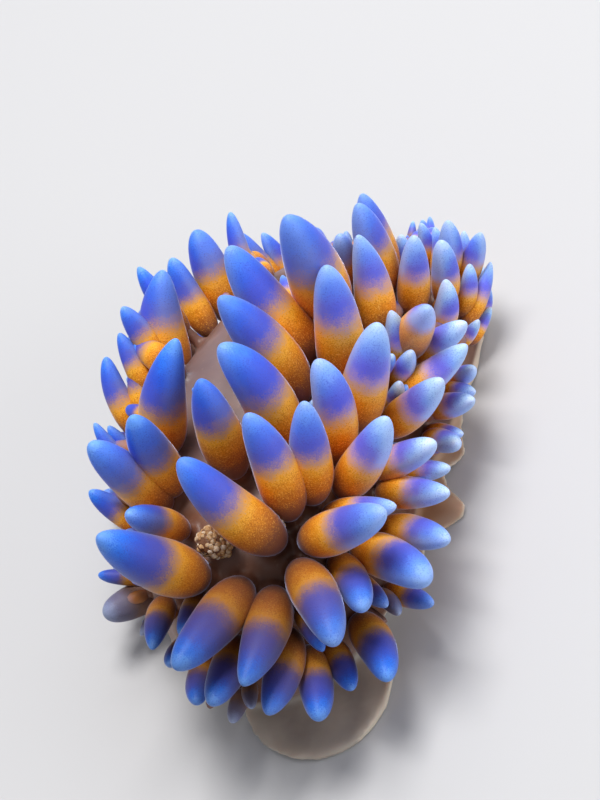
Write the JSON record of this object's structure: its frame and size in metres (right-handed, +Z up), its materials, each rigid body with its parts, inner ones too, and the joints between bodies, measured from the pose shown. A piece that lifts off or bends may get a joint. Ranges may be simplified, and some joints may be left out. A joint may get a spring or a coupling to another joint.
{
  "type": "gas flame nudibranch",
  "caption": "Life-size still model of a gas flame nudibranch: a stout sea slug with a curved body, a broad creeping foot and a dense coat of finger-like cerata.",
  "frame": {"origin": "on the floor under the middle of the bounding box, level with the sole", "axes": "-Y is the way the head faces, +X is the animal's left side, +Z is up"},
  "size_m": [0.0498, 0.072, 0.0391],
  "materials": {
    "cerata_skin": "wet, translucent, orange below and violet-blue at the tips",
    "bare_skin": "wet, smooth, translucent grey-mauve",
    "foot_skin": "wet, translucent grey-brown with a pale rim",
    "rhinophore_skin": "soft, cream and gold grains",
    "tentacle_skin": "wet, translucent grey-brown"
  },
  "bodies": {
    "root": {"head": "cerata_skin", "brow": "cerata_skin", "flank_left_front": "cerata_skin", "flank_left_middle": "cerata_skin", "flank_left_rear": "cerata_skin", "flank_right_front": "cerata_skin", "flank_right_middle": "cerata_skin", "flank_right_rear": "cerata_skin", "tail": "cerata_skin", "back": "bare_skin", "foot": "foot_skin", "rhinophore_left": "rhinophore_skin", "rhinophore_right": "rhinophore_skin", "oral_tentacle_left": "tentacle_skin", "oral_tentacle_right": "tentacle_skin"}
  },
  "joints": []
}
